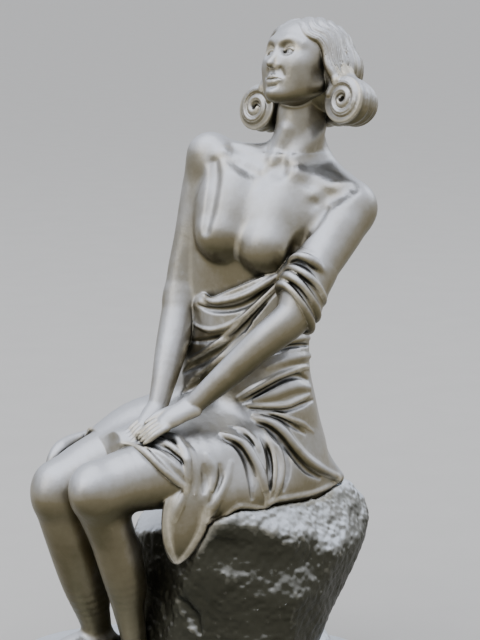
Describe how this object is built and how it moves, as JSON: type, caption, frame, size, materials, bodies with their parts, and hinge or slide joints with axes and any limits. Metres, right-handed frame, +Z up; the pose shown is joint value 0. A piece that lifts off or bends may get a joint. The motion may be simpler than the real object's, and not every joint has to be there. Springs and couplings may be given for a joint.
{
  "type": "seated woman statuette",
  "caption": "Bronze statuette of a draped woman seated on a rock, hands crossed on her lap, hair rolled over her ears, on a low ground base.",
  "frame": {"origin": "middle of the base, on its flat underside", "axes": "+Z up, +X towards her left hip and the high end of the rock, -Y towards the viewer of the picture"},
  "size_m": [0.1472, 0.1047, 0.2795],
  "materials": {
    "bronze": "olive brown bronze patina, rubbed paler on the raised parts, satin",
    "rock_bronze": "dark olive bronze patina, rough cast"
  },
  "bodies": {
    "root": {"seated_woman": "bronze", "rock_plinth": "rock_bronze"}
  },
  "joints": []
}
